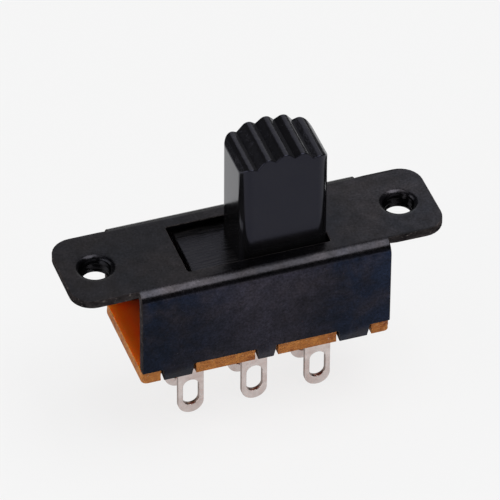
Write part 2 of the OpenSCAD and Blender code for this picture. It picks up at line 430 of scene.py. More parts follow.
def makeOxide(name, bareAmount, roughness, sheared=False):
    look = oxideLook
    material, tree, bsdf, place = newMaterial(name)
    marks = useMottle(tree, place, look["blotch"], look["grain"])
    patches = useMottle(tree, place, look["patch"])
    x, y, z = splitPlace(tree, place)
    along = addRange(tree, x, look["length"])
    onFold = addRange(tree, addMath(tree, "ABSOLUTE", y), look["fold"])
    onSkirt = times(tree, addRange(tree, z, look["skirtTop"]), onFold)
    if sheared:
        tone = addMix(tree, patches["Blotch"], *look["cut"])
    else:
        blue = times(tree, addRamp(tree, marks["Blotch"], look["skirtBlend"]),
                     addRamp(tree, along, look["skirtBlue"]))
        tone = addMix(tree, onSkirt, addMix(tree, marks["Blotch"], *look["top"]),
                      addMix(tree, blue, *look["skirt"]))
    # painted light and shade: lighter towards the right end, a painted highlight along the folds, painted
    # shade below the top face
    shade = addRamp(tree, along, look["topPaintedLight"])
    shade = addMix(tree, addRange(tree, z, look["boreTop"]), shade, look["borePaintedShade"])
    shade = addMix(tree, onFold, shade, addRamp(tree, along, look["foldPaintedHighlight"]))
    fade = addRamp(tree, addRange(tree, z, look["fade"]), look["skirtPaintedGlow"])
    shade = addMix(tree, onSkirt, shade, times(tree, addRamp(tree, along, look["skirtPaintedLight"]), fade))
    shade = times(tree, shade, look["brightest"])
    shade = times(tree, shade, addRamp(tree, patches["Blotch"], look["patchShade"]))
    shade = times(tree, shade, addRamp(tree, marks["Grain"], look["grainShade"]))
    tone = addMix(tree, 1.0, tone, shade, "MULTIPLY")
    tone = addMix(tree, useWear(tree, place, bareAmount), tone, look["bareCut" if sheared else "bare"])
    sheen = addMath(tree, "MULTIPLY_ADD", marks["Grain"], look["grainSheen"],
                    roughness - look["grainSheen"] / 2)
    rolled = useStreaks(tree, place, look["line"], look["stretch"])
    sheen = addMath(tree, "MULTIPLY_ADD", rolled, look["lineSheen"], sheen)
    feed(tree, bsdf, {"Base Color": tone, "Roughness": sheen,
                      "Metallic": look["cutMetallic" if sheared else "metallic"],
                      "Specular IOR Level": look["cutSpecular" if sheared else "specular"]})
    pits = addMath(tree, "SUBTRACT", marks["Grain"], times(tree, marks["Speck"], look["pitShare"]))
    addBump(tree, bsdf, pits, *look["bump"])
    return material


# Paper laminate: satin faces, and sawn edges where the fibres show pale
laminateLook = {
    "amber": (0.61, 0.225, 0.022), "rust": (0.58, 0.090, 0.003), "red": (0.52, 0.045, 0.002),
    "paintedShadeRed": (0.16, 0.005, 0.005),
    "inside": ((0.0, "amber"), (0.27, "rust"), (0.5, "red"), (1.0, "paintedShadeRed")),  # painted shade: darker and redder further in from the open ends
    "inward": (11.7, 9.1), "upper": (-9.6, -9.4), "paintedShadeShare": 0.85,  # where that is, millimetres
    "blotch": 2.4, "grain": 0.16, "speckShare": 0.25,
    "gloss": [(0.3, 0.36), (0.7, 0.5)], "specular": 0.2, "bump": (0.25, 0.01),
    "through": 0.6, "reach": (2.2, 0.35, 0.06),  # share and depth of light in the resin, millimetres
}
sawnLook = {
    "fibre": (0.410, 0.160, 0.034), "resin": (0.15, 0.030, 0.003), "chip": (0.62, 0.42, 0.31),
    "blotch": 1.1, "grain": 0.13, "ply": 0.22, "chipSize": 0.3,  # millimetres
    "stretch": 0.18, "plyShare": 0.45, "speckShare": 0.5, "chipAmount": 0.3, "chipShare": 0.7,
    "gloss": [(0.2, 0.55), (0.8, 0.8)], "plyHeight": 0.4, "bump": (0.75, 0.05),
}


def makeLaminateFace():
    look = laminateLook
    material, tree, bsdf, place = newMaterial("laminateFace")
    marks = useMottle(tree, place, look["blotch"], look["grain"])
    x, _, z = splitPlace(tree, place)
    # painted shade: the top face turns darker and redder further in from the open ends
    inward = addRange(tree, addMath(tree, "ABSOLUTE", x), look["inward"])
    inside = addRamp(tree, inward, [(stop, look[tone]) for stop, tone in look["inside"]])
    upper = times(tree, addRange(tree, z, look["upper"]), look["paintedShadeShare"])
    tone = addMix(tree, marks["Blotch"], look["amber"], look["rust"])
    tone = addMix(tree, upper, tone, inside)
    tone = addMix(tree, times(tree, marks["Speck"], look["speckShare"]), tone, sawnLook["resin"])
    feed(tree, bsdf, {"Base Color": tone, "Roughness": addRamp(tree, marks["Grain"], look["gloss"]),
                      "Specular IOR Level": look["specular"]})
    feed(tree, bsdf, {"Subsurface Weight": look["through"], "Subsurface Radius": look["reach"],
                      "Subsurface Scale": toMetres})  # light creeps through the resin, red furthest
    addBump(tree, bsdf, marks["Grain"], *look["bump"])
    return material


def makeLaminateEdge():
    look = sawnLook
    material, tree, bsdf, place = newMaterial("laminateEdge")
    marks = useMottle(tree, place, look["blotch"], look["grain"])
    plies = useStreaks(tree, place, look["ply"], look["stretch"])
    chips = useWear(tree, place, look["chipAmount"], look["chipSize"])
    tone = addMix(tree, marks["Blotch"], look["resin"], look["fibre"])
    tone = addMix(tree, times(tree, plies, look["plyShare"]), tone, look["fibre"])
    tone = addMix(tree, times(tree, marks["Speck"], look["speckShare"]), tone, laminateLook["rust"])
    tone = addMix(tree, times(tree, chips, look["chipShare"]), tone, look["chip"])
    feed(tree, bsdf, {"Base Color": tone, "Roughness": addRamp(tree, marks["Grain"], look["gloss"]),
                      "Specular IOR Level": laminateLook["specular"]})
    rough = addMath(tree, "MULTIPLY_ADD", plies, look["plyHeight"], marks["Grain"])
    addBump(tree, bsdf, rough, *look["bump"])
    return material


# Glossy black moulding, and the same where the frame or thumbs rub it
mouldingLook = {
    "black": (0.0030, 0.0030, 0.0034), "charcoal": (0.0050, 0.0048, 0.0050),
    "rubbed": (0.0105, 0.0097, 0.0097), "dust": (0.0070, 0.0068, 0.0068),
    "blotch": 2.6, "grain": 0.3, "lump": 0.7, "line": 0.16, "dentSize": 0.45,  # millimetres
    "stretch": 0.06, "dents": 0.26, "gripDents": 0.31,
    "roughness": 0.13, "gripRoughness": 0.19, "blotchSheen": 0.05, "dentSheen": 0.3, "lineSheen": 0.12,
    "ior": 1.34, "paintedBlueReflection": (0.66, 0.67, 1.0, 1.0), "specular": 0.5, "rubbedSpecular": 0.3,
    "bump": (0.06, 0.01), "rubbedBump": (0.45, 0.02), "gripBump": (0.35, 0.04), "grainHeight": 0.4,
}


def makeMoulding(name, rubbed=False, grip=False):
    look = mouldingLook
    material, tree, bsdf, place = newMaterial(name)
    marks = useMottle(tree, place, look["blotch"], look["grain"])
    dents = useWear(tree, place, look["gripDents" if grip else "dents"], look["dentSize"])
    tone = addMix(tree, marks["Blotch"], look["black"], look["charcoal"])
    gloss = addMath(tree, "MULTIPLY_ADD", marks["Blotch"], look["blotchSheen"],
                    look["gripRoughness" if grip else "roughness"])
    gloss = addMath(tree, "MULTIPLY_ADD", dents, look["dentSheen"], gloss)
    height, bump = marks["Grain"], look["bump"]
    if rubbed:
        height, bump = useStreaks(tree, place, look["line"], look["stretch"]), look["rubbedBump"]
        tone = addMix(tree, height, tone, look["rubbed"])
        gloss = addMath(tree, "MULTIPLY_ADD", height, look["lineSheen"], gloss)
    if grip:  # thumbs have dulled and dented the ribs
        lumps = useMottle(tree, place, look["lump"])
        tone = addMix(tree, dents, tone, look["dust"])
        height = addMath(tree, "MULTIPLY_ADD", marks["Grain"], look["grainHeight"], lumps["Blotch"])
        bump = look["gripBump"]
    # the bluish specular tint is a painted reflection of bluish surroundings
    feed(tree, bsdf, {"Base Color": tone, "Roughness": gloss, "IOR": look["ior"],
                      "Specular Tint": look["paintedBlueReflection"],
                      "Specular IOR Level": look["rubbedSpecular" if rubbed else "specular"]})
    addBump(tree, bsdf, height, *bump)
    return material


# Tin plate on brass: dull silver with a rosy cast
tinLook = {
    "face": ((0.68, 0.62, 0.60), (0.52, 0.43, 0.405)), "cut": ((0.33, 0.26, 0.235), (0.17, 0.12, 0.10)),
    "stain": (0.27, 0.20, 0.17), "stainAmount": 0.3, "stainShare": 0.5,
    "blotch": 1.3, "grain": 0.12, "stainSize": 0.5,  # millimetres
    "gloss": [(0.25, 0.26), (0.75, 0.44)], "bump": (0.3, 0.012),
}


def makeTin(name, tones):
    look = tinLook
    material, tree, bsdf, place = newMaterial(name)
    marks = useMottle(tree, place, look["blotch"], look["grain"])
    stain = useWear(tree, place, look["stainAmount"], look["stainSize"])
    tone = addMix(tree, marks["Blotch"], *tones)
    tone = addMix(tree, times(tree, stain, look["stainShare"]), tone, look["stain"])
    feed(tree, bsdf, {"Base Color": tone, "Roughness": addRamp(tree, marks["Grain"], look["gloss"]),
                      "Metallic": 1.0})
    addBump(tree, bsdf, marks["Grain"], *look["bump"])
    return material


# Bare contact brass and drawn spring wire
bareLook = {
    "brass": ((0.72, 0.46, 0.20), (0.47, 0.27, 0.10)), "wire": ((0.56, 0.56, 0.58), (0.34, 0.34, 0.36)),
    "blotch": 1.2, "brassLine": 0.12, "wireLine": 0.08,  # millimetres
    "stretch": 0.08, "gloss": [(0.0, 0.22), (1.0, 0.4)], "bump": (0.2, 0.006),
}


def makeBareMetal(name, kind):
    look = bareLook
    material, tree, bsdf, place = newMaterial(name)
    marks = useMottle(tree, place, look["blotch"])
    lines = useStreaks(tree, place, look[kind + "Line"], look["stretch"])
    tone = addMix(tree, marks["Blotch"], *look[kind])
    feed(tree, bsdf, {"Base Color": tone, "Roughness": addRamp(tree, lines, look["gloss"]),
                      "Metallic": 1.0})
    addBump(tree, bsdf, lines, *look["bump"])
    return material


oxideFace = makeOxide("oxideFace", bareAmount=0.22, roughness=0.22)
oxideEdge = makeOxide("oxideEdge", bareAmount=0.33, roughness=0.85, sheared=True)
laminateFace = makeLaminateFace()
laminateEdge = makeLaminateEdge()
mouldingGloss = makeMoulding("mouldingGloss")
mouldingRubbed = makeMoulding("mouldingRubbed", rubbed=True)
mouldingGrip = makeMoulding("mouldingGrip", grip=True)
tinPlate = makeTin("tinPlate", tinLook["face"])
tinEdge = makeTin("tinEdge", tinLook["cut"])
contactBrass = makeBareMetal("contactBrass", "brass")
springSteel = makeBareMetal("springSteel", "wire")
print("materials made")


# Frame: one sheet, folded down at both sides, with a screw hole rolled into each ear
sheet = {
    "bodyHalf": 11.7, "skirtBottom": -8.9, "thick": 0.8, "foldRadius": 1.25, "foldSteps": 7,
    "earHalf": 4.5, "earRoot": 0.8, "earCorner": 2.1, "earSteps": 8, "earMargin": 1, "earInset": 0.1,
    "slotHalf": (6.705, 3.225), "slotCorner": 0.25, "slotSteps": 4, "punchBottom": -2,
    "edgeRadius": 0.11, "edgeSteps": 3, "edgeAngle": 35,
}
clinch = {
    "tabs": ((0.0, 1.8), (-8.3, 2.95), (8.3, 2.95)),  # middle and width of each tab
    "root": 0.4, "lean": 12, "taper": 0.15, "kneeRadius": 0.3, "kneeSteps": 4,
}
screwRing = {
    "halfPitch": 14.29, "bore": 1.25, "sides": 64, "margin": 0.01, "wallTilt": 0.5,
    "dishRadius": 2.4, "dishInner": 1.45, "dishSlope": 52, "dishPower": 5, "dishSteps": 14,
    "bendRadius": 0.15, "bendSlope": 70, "bendSteps": 3,
    "ledge": ((1.39, -0.40), (1.34, -0.47), (1.27, -0.58)),  # radius and height, where the bore narrows
    "threadPitch": 0.5, "threadDepth": 0.2, "threads": 2, "threadLead": 0.03,
    "threadForm": ((0, 0), (1, 0.4), (1, 0.55), (0, 0.95)),  # out in depths, down in pitches
    "collarRadius": 1.75, "collarBottom": -1.65, "footChamfer": 0.1,
    "collarFoot": ((-0.12, 0), (-0.03, 0.04), (0, 0.13)),  # out from its radius, up from its bottom
    "collarRoot": ((0, -0.2), (0.06, -0.06)),  # out from its radius, up from the sheet's underside
}


def foldSheet():
    low, high = nodeBox("frame")
    half, bottom, top = sheet["bodyHalf"], sheet["skirtBottom"], 0
    shell = addBlock("frameSheet", (-half, low.y, bottom), (half, high.y, top))
    editMode(shell)
    pick(shell, "FACE", lambda f: abs(f.normal.x) > square or f.normal.z < -square)  # ends and underside
    bpy.ops.mesh.delete(type="FACE")
    pick(shell, "EDGE", lambda e: runsAlong(e, 0) and near(middle(e).z, top))
    bevelPicked(sheet["foldRadius"], sheet["foldSteps"])
    turn = math.radians(90) / sheet["foldSteps"]
    flat = high.y - sheet["foldRadius"]
    rootHalf = flat + sheet["foldRadius"] * math.sin(turn)
    for side in (-1, 1):  # ears grow out of the flat and the first step of each fold
        pick(shell, "EDGE", lambda e: near(middle(e).x, side * half) and abs(middle(e).y) < rootHalf)
        growEdges((side * sheet["earRoot"], 0, 0))
        bpy.ops.transform.resize(value=(1, sheet["earHalf"] / rootHalf, 0), center_override=(0, 0, top))
        growEdges((side * (high.x - half - sheet["earRoot"]), 0, 0))

    def onEar(edge):  # lines inside the ear that the two steps leave
        along, across = abs(middle(edge).x), abs(middle(edge).y)
        margin = sheet["earMargin"]
        return half + margin < along < high.x - margin and across < flat + sheet["earInset"]

    pick(shell, "EDGE", onEar)
    bpy.ops.mesh.dissolve_edges(use_verts=True)
    pick(shell, "VERT", lambda v: near(abs(v.co.x), high.x))
    bevelPicked(sheet["earCorner"], sheet["earSteps"], "VERTICES")
    objectMode()
    clinchTabs(shell, low)
    editMode(shell)
    turnOutward()
    if pick(shell, "FACE", lambda f: near(middle(f).z, top) and f.normal.z < -square):
        bpy.ops.mesh.select_all(action="SELECT")  # an open sheet can end up turned over
        bpy.ops.mesh.flip_normals()
    objectMode()
    dress(shell, oxideFace, oxideEdge)
    useModifier(shell, "SOLIDIFY", thickness=sheet["thick"], offset=-1, use_even_offset=True,
                material_offset_rim=1)
    return shell


def clinchTabs(shell, low):
    bottom = sheet["skirtBottom"]
    knee = bottom - clinch["root"]
    drop = knee - low.z
    shift = drop * math.tan(math.radians(clinch["lean"]))
    lean = (low.y + shift) / low.y  # both skirts' tabs lean towards the middle
    cuts = [x + side * width / 2 for x, width in clinch["tabs"] for side in (-1, 1)]
    splitAt(shell, 0, cuts, lambda f: abs(f.normal.y) > square)

    def lowEdge(edge, height):
        return runsAlong(edge, 0) and near(middle(edge).z, height)

    editMode(shell)
    for x, width in clinch["tabs"]:
        rootWidth = width - 2 * clinch["taper"] * clinch["root"] / (clinch["root"] + drop)
        tipWidth = width - 2 * clinch["taper"]
        pick(shell, "EDGE", lambda e: lowEdge(e, bottom) and near(middle(e).x, x))
        growEdges((0, 0, -clinch["root"]))
        bpy.ops.transform.resize(value=(rootWidth / width, 1, 1), center_override=(x, 0, bottom))
        growEdges((0, 0, -drop))
        bpy.ops.transform.resize(value=(tipWidth / rootWidth, lean, 1), center_override=(x, 0, low.z))
    pick(shell, "EDGE", lambda e: lowEdge(e, knee))
    bevelPicked(clinch["kneeRadius"], clinch["kneeSteps"])
    objectMode()


def ringProfile():  # (radius, height) down the rolled edge and the thread, then up outside the collar
    outer, underside = screwRing["dishRadius"], -sheet["thick"]
    slope, steep = math.radians(screwRing["dishSlope"]), math.radians(screwRing["bendSlope"])
    wide = outer - screwRing["dishInner"]
    profile = []
    for step in range(1, screwRing["dishSteps"] + 1):  # the punch dishes the sheet
        inward = step / screwRing["dishSteps"]
        sunk = inward ** screwRing["dishPower"] * math.tan(slope) * wide / screwRing["dishPower"]
        profile.append((outer - wide * inward, -sunk))
    startRadius, startHeight = profile[-1]
    bend = screwRing["bendRadius"]
    for step in range(1, screwRing["bendSteps"] + 1):  # and bends it down into the bore
        angle = slope + (steep - slope) * step / screwRing["bendSteps"]
        profile.append((startRadius - bend * (math.sin(angle) - math.sin(slope)),
                        startHeight - bend * (math.cos(slope) - math.cos(angle))))
    profile += screwRing["ledge"]
    bore, pitch, depth = screwRing["bore"], screwRing["threadPitch"], screwRing["threadDepth"]
    threadTop = profile[-1][1] - screwRing["threadLead"]
    for turn in range(screwRing["threads"]):
        start = threadTop - turn * pitch
        profile += [(bore + out * depth, start - down * pitch) for out, down in screwRing["threadForm"]]
    foot, collar = screwRing["collarBottom"], screwRing["collarRadius"]
    profile.append((bore + screwRing["footChamfer"], foot))
    profile += [(collar + out, foot + up) for out, up in screwRing["collarFoot"]]
    profile += [(collar + out, underside + up) for out, up in screwRing["collarRoot"]]
    profile.append((outer, underside))
    return profile


def rollScrewHole(shell, side):
    middleX = side * screwRing["halfPitch"]
    rim = screwRing["dishRadius"]
    drill = addDrum("drill", rim, sheet["punchBottom"], overrun, (middleX, 0), screwRing["sides"])
    combine(shell, drill, "DIFFERENCE")

    def onRim(vert):
        return near(math.hypot(vert.co.x - middleX, vert.co.y), rim, screwRing["margin"])

    def onRimAt(vert, height):
        return onRim(vert) and near(vert.co.z, height, screwRing["margin"])

    editMode(shell)
    pick(shell, "FACE", lambda f: all(map(onRim, f.verts)) and abs(f.normal.z) < screwRing["wallTilt"])
    bpy.ops.mesh.delete(type="FACE")
    pick(shell, "EDGE", lambda e: all(onRimAt(v, 0) for v in e.verts))
    radius, height = rim, 0
    for nextRadius, nextHeight in ringProfile():
        growEdges((0, 0, nextHeight - height))
        factor = nextRadius / radius
        bpy.ops.transform.resize(value=(factor, factor, 1), center_override=(middleX, 0, nextHeight))
        radius, height = nextRadius, nextHeight
    pick(shell, "VERT", lambda v: onRimAt(v, -sheet["thick"]))  # closes on the underside
    bpy.ops.mesh.remove_doubles(threshold=screwRing["margin"])
    objectMode()


def makeFrame():
    shell = foldSheet()
    halfX, halfY = sheet["slotHalf"]
    punch = addBlock("punch", (-halfX, -halfY, sheet["punchBottom"]), (halfX, halfY, overrun))
    roundEdges(punch, upright, sheet["slotCorner"], sheet["slotSteps"])
    combine(shell, punch, "DIFFERENCE")
    breakEdges(shell, sheet["edgeRadius"], sheet["edgeSteps"], sheet["edgeAngle"], material=1)
    for side in (-1, 1):
        rollScrewHole(shell, side)
    settle(shell)
    smoothFlats(shell)
    fit(shell, "frame", "housing")


makeFrame()
print("frame folded")


# Base plate: punched laminate with a notch for each tab and a slot for each terminal
plate = {
    "corner": 0.5, "cornerSteps": 4, "notchGap": 0.2, "notchWall": 4.61, "notchOver": 0.3,
    "neckSlot": (1.9, 0.6), "edgeTilt": 0.7, "smooth": 35,
    "wallInset": 1.2, "longEdge": 3, "longCuts": 11, "tallEdge": 1, "wallSteps": 4,
    "skin": 0.3, "rimKept": 0.1, "ragged": 0.03, "raggedUniform": 0.2, "raggedNormal": 0.8, "raggedSeed": 7,
}
rows = {"front": -1, "rear": 1}
columns = {"left": -1, "middle": 0, "right": 1}
contact = {"pitch": 6.05, "rowY": 1.9}


def makeBasePlate():
    low, high = nodeBox("base_plate")
    base = addBlock("basePlate", low, high)
    roundEdges(base, upright, plate["corner"], plate["cornerSteps"])
    outside = nodeBox("frame")[1].y + overrun
    lean = (high.z - clinch["root"] - low.z) * math.tan(math.radians(clinch["lean"]))
    slotX, slotY = plate["neckSlot"]
    for side in rows.values():
        for x, width in clinch["tabs"]:
            half = width / 2 + plate["notchGap"]
            wall = side * plate["notchWall"]
            ends = sorted((wall, side * outside))
            notch = addBlock("notch", (x - half, ends[0], low.z - plate["notchOver"]),
                             (x + half, ends[1], high.z + plate["notchOver"]))
            editMode(notch)  # the wall follows the tab's lean
            pick(notch, "VERT", lambda v: near(v.co.y, wall) and v.co.z < low.z)
            bpy.ops.transform.translate(value=(0, -side * lean, 0))
            objectMode()
            combine(base, notch, "DIFFERENCE")
        for column in columns.values():
            x, y = column * contact["pitch"], side * contact["rowY"]
            hole = addBlock("hole", (x - slotX / 2, y - slotY / 2, low.z - overrun),
                            (x + slotX / 2, y + slotY / 2, high.z + overrun))
            combine(base, hole, "DIFFERENCE")
    tearEdges(base, low, high)
    dress(base, laminateFace, laminateEdge)
    paint(base, 1, lambda f: abs(f.normal.z) < plate["edgeTilt"])
    settle(base, plate["smooth"])
    fit(base, "base_plate", "housing")


def tearEdges(base, low, high):  # a punched edge isn't smooth: its walls are divided and roughened
    def within(spot, depth):  # no further in from the outside than the depth
        return abs(spot.x) > high.x - depth or abs(spot.y) > high.y - depth

    def longEdge(edge):
        return (within(middle(edge), plate["wallInset"]) and not upright(edge)
                and span(edge).length > plate["longEdge"])

    def tallEdge(edge):
        return within(middle(edge), plate["wallInset"]) and abs(span(edge).z) > plate["tallEdge"]

    def wallPoint(vert):
        kept = plate["rimKept"]
        return within(vert.co, plate["skin"]) and low.z + kept < vert.co.z < high.z - kept

    editMode(base)
    pick(base, "EDGE", longEdge)
    bpy.ops.mesh.subdivide(number_cuts=plate["longCuts"])
    pick(base, "EDGE", tallEdge)
    bpy.ops.mesh.subdivide(number_cuts=plate["wallSteps"])
    pick(base, "VERT", wallPoint)
    bpy.ops.transform.vertex_random(offset=plate["ragged"], uniform=plate["raggedUniform"],
                                    normal=plate["raggedNormal"], seed=plate["raggedSeed"])
    objectMode()


makeBasePlate()
print("base plate punched")


# Slider: ribbed knob on a carriage with two contact pockets
knob = {
    "middleX": 2.54, "half": (4.125, 2.925), "foot": -2.4, "ribs": 5, "pitch": 1.74,
    "archRadius": 6.8, "ribDepth": 0.5, "crestOffset": 0.58, "crestSteps": 8, "crestLift": 0.21,
    "cornerRadius": 1.1, "cornerSteps": 8, "shoulder": 9.08, "valleyShift": -0.08,
    "rimRadius": 0.1, "rimSteps": 3, "rimAngle": 38, "wallTilt": 0.2, "gripBottom": 8.0, "gripTilt": 0.15,
}
carriage = {
    "half": (8.495, 4.45), "top": -0.95, "bottom": -3.0, "corner": 0.4, "cornerSteps": 4,
    "edge": 0.12, "edgeSteps": 2, "topMargin": 0.05, "overlap": 0.5,
    "pocketY": 2.9, "pocketHalf": (4.56, 1.0), "wall": 0.55, "pocketBottom": -8.2, "pocketRoof": -7.56,
    "springRadius": 0.97, "springRoof": -2.35,
}


def makeKnob(top):
    halfX, halfY = knob["half"]
    x0 = knob["middleX"]
    archCentre = top - knob["archRadius"]
    pitch = knob["pitch"]

    def archHeight(x, radius):
        return archCentre + math.sqrt(radius ** 2 - (x - x0) ** 2)

    crests = [x0 + pitch * (i - (knob["ribs"] - 1) / 2) for i in range(knob["ribs"])]
    valleys = [x + pitch / 2 + knob["valleyShift"] for x in crests[:-1]]
    block = addBlock("sliderKnob", (x0 - halfX, -halfY - overrun, knob["foot"]),
                     (x0 + halfX, halfY + overrun, top))
    splitAt(block, 0, crests + valleys, anyFace)
    editMode(block)
    ridges = [(x, archHeight(x, knob["archRadius"]) + knob["crestLift"]) for x in crests]
    ridges += [(x, archHeight(x, knob["archRadius"] - knob["ribDepth"])) for x in valleys]
    ridges += [(x0 + side * halfX, knob["shoulder"]) for side in (-1, 1)]
    for x, height in ridges:
        pick(block, "EDGE", lambda e: runsAlong(e, 1) and near(middle(e).x, x) and near(middle(e).z, top))
        bpy.ops.transform.translate(value=(0, 0, height - top))

    def onCrest(edge):
        spot = middle(edge)
        return runsAlong(edge, 1) and spot.z > knob["gripBottom"] and any(near(spot.x, x) for x in crests)

    pick(block, "EDGE", onCrest)
    bevelPicked(knob["crestOffset"], knob["crestSteps"])
    objectMode()
    form = addBlock("form", (x0 - halfX, -halfY, knob["foot"] - overrun),
                    (x0 + halfX, halfY, top + overrun))
    roundEdges(form, upright, knob["cornerRadius"], knob["cornerSteps"])
    combine(block, form, "INTERSECT")
    return block


def onKnobRim(edge):  # where the ribs meet the upright faces
    if len(edge.link_faces) != 2 or middle(edge).z < knob["gripBottom"]:
        return False
    first, second = (face.normal for face in edge.link_faces)
    flattest = min(abs(first.z), abs(second.z))
    return flattest < knob["wallTilt"] and first.angle(second) > math.radians(knob["rimAngle"])


def makeSlider():
    x0 = knob["middleX"]
    slider = makeKnob(nodeBox("slider")[1].z)
    halfX, halfY = carriage["half"]
    top, bottom, foot = carriage["top"], carriage["bottom"], carriage["pocketBottom"]
    deck = addBlock("deck", (x0 - halfX, -halfY, bottom), (x0 + halfX, halfY, top))
    roundEdges(deck, upright, carriage["corner"], carriage["cornerSteps"])
    roundEdges(deck, lambda e: near(middle(e).z, top), carriage["edge"], carriage["edgeSteps"])
    combine(slider, deck, "UNION")
    pocketX, pocketY = carriage["pocketHalf"]
    wallX, wallY = pocketX + carriage["wall"], pocketY + carriage["wall"]
    for side in rows.values():
        y = side * carriage["pocketY"]
        box = addBlock("box", (x0 - wallX, y - wallY, foot),
                       (x0 + wallX, y + wallY, bottom + carriage["overlap"]))
        roundEdges(box, lambda e: near(middle(e).z, foot), carriage["edge"], carriage["edgeSteps"])
        combine(slider, box, "UNION")
        room = addBlock("room", (x0 - pocketX, y - pocketY, foot - overrun),
                        (x0 + pocketX, y + pocketY, carriage["pocketRoof"]))
        combine(slider, room, "DIFFERENCE")
        bore = addDrum("bore", carriage["springRadius"], foot - overrun, carriage["springRoof"], (x0, y))
        combine(slider, bore, "DIFFERENCE")
    roundEdges(slider, onKnobRim, knob["rimRadius"], knob["rimSteps"], clamp=False)
    dress(slider, mouldingGloss, mouldingRubbed, mouldingGrip)
    paint(slider, 1, lambda f: f.normal.z > square and near(middle(f).z, top, carriage["topMargin"]))
    paint(slider, 2, lambda f: f.normal.z > knob["gripTilt"] and middle(f).z > knob["gripBottom"])
    settle(slider)
    smoothFlats(slider)
    fit(slider, "slider", "slider")


makeSlider()
print("slider moulded")


# Terminals: a stamped lug with an eyelet, a neck through the base and a contact folded over on top
lug = {
    "half": 1.225, "thick": 0.5, "neckHalf": 0.9, "eyeHalf": (0.75, 1.45), "eyeMiddle": -15.3,
    "roundSteps": 12, "contactLong": 1.5, "contactTop": -8.4, "bendRadius": 0.45, "bendSteps": 6,
    "edge": 0.10, "edgeSteps": 3, "edgeTilt": 0.6,
}


def makeLug():  # the middle terminal of the rear row
    baseLow, baseHigh = nodeBox("base_plate")
    bottom = nodeBox("terminal_rear_middle")[0].z
    half, top, steps = lug["half"], lug["contactTop"], lug["roundSteps"]
    inner, outer = contact["rowY"] - lug["thick"] / 2, contact["rowY"] + lug["thick"] / 2
    piece = addBlock("lug", (-half, inner, bottom), (half, outer, baseLow.z))
    roundEdges(piece, lambda e: runsAlong(e, 1) and near(middle(e).z, bottom), half - slack, steps)
    splitAt(piece, 0, (-lug["neckHalf"], lug["neckHalf"]), lambda f: f.normal.z > square)
    editMode(piece)
    pick(piece, "FACE", lambda f: f.normal.z > square and near(middle(f).x, 0))
    for height in (baseHigh.z - baseLow.z, top - baseHigh.z):  # neck, then the fold
        growFaces((0, 0, height))
    pick(piece, "FACE", lambda f: f.normal.y > square and middle(f).z > baseHigh.z)
    growFaces((0, lug["contactLong"], 0))
    objectMode()

    def onFold(edge):
        return runsAlong(edge, 0) and near(middle(edge).z, top) and near(middle(edge).y, inner)

    roundEdges(piece, onFold, lug["bendRadius"], lug["bendSteps"])
    eyeX, eyeZ = lug["eyeHalf"]
    eye = addBlock("eye", (-eyeX, contact["rowY"] - overrun, lug["eyeMiddle"] - eyeZ),
                   (eyeX, contact["rowY"] + overrun, lug["eyeMiddle"] + eyeZ))
    roundEdges(eye, lambda e: runsAlong(e, 1), eyeX - slack, steps)
    combine(piece, eye, "DIFFERENCE")
    breakEdges(piece, lug["edge"], lug["edgeSteps"])
    dress(piece, tinPlate, tinEdge)
    paint(piece, 1, lambda f: abs(f.normal.y) < lug["edgeTilt"] and middle(f).z < baseLow.z)
    return piece


def copyTo(piece, name, shift, mirrorY):  # a copy with its own mesh
    objectMode()
    copy = piece.copy()
    copy.data = piece.data.copy()
    copy.name = name
    copy.data.name = name
    scene.collection.objects.link(copy)
    activate(copy)
    copy.location = shift
    copy.scale = (1, -1 if mirrorY else 1, 1)
    applyTransform()
    if mirrorY:
        editMode(copy)
        turnOutward()
        objectMode()
    return copy


pattern = makeLug()
for rowName, side in rows.items():
    for columnName, column in columns.items():
        terminal = copyTo(pattern, "terminal" + rowName.title() + columnName.title(),
                          (column * contact["pitch"], 0, 0), side < 0)
        settle(terminal)
        smoothFlats(terminal)
        fit(terminal, "terminal_" + rowName + "_" + columnName, "housing")
bpy.data.objects.remove(pattern)
print("terminals stamped")


# Contact strips: a flat sole, two turned-up toes and a boss pressed up for the spring
strip = {
    "toe": 0.7, "rise": 0.3, "thick": 0.4, "bendRadius": 0.3, "bendSteps": 4, "bendMargin": 0.1,
    "bossRadius": 0.48, "bossHigh": 0.35, "bossFoot": 0.1, "dimpleRadius": 0.24,
    "edge": 0.05, "edgeSteps": 2,
}


def makeStrip():
    low, high = nodeBox("bridge_rear")
    centre = (low + high) / 2
    top = low.z + strip["thick"]
    piece = addBlock("strip", low, (high.x, high.y, top))
    splitAt(piece, 0, (low.x + strip["toe"], high.x - strip["toe"]), anyFace)
    editMode(piece)
    pick(piece, "VERT", lambda v: near(v.co.x, low.x) or near(v.co.x, high.x))
    bpy.ops.transform.translate(value=(0, 0, strip["rise"]))
    objectMode()
    reach = (high.x - low.x) / 2 - strip["bendMargin"]
    lift = strip["bossHigh"]
    roundEdges(piece, lambda e: runsAlong(e, 1) and abs(middle(e).x - centre.x) < reach,
               strip["bendRadius"], strip["bendSteps"])
    boss = addDrum("boss", strip["bossRadius"], low.z + strip["bossFoot"], top + lift, centre.xy)
    combine(piece, boss, "UNION")
    dimple = addDrum("dimple", strip["dimpleRadius"], low.z - overrun, low.z + lift, centre.xy)
    combine(piece, dimple, "DIFFERENCE")
    breakEdges(piece, strip["edge"], strip["edgeSteps"])
    dress(piece, contactBrass)
    return piece


pattern = makeStrip()
for rowName, side in rows.items():
    bridge = copyTo(pattern, "contactStrip" + rowName.title(), (0, 0, 0), side < 0)
    settle(bridge)
    smoothFlats(bridge)
    fit(bridge, "bridge_" + rowName, "slider")
bpy.data.objects.remove(pattern)
print("contact strips pressed")


# Springs: a ring of wire wound up by a screw
spring = {"wire": 0.25, "turns": 6, "ringSides": 10, "stepsPerTurn": 28, "merge": 0.0005, "smooth": 50}


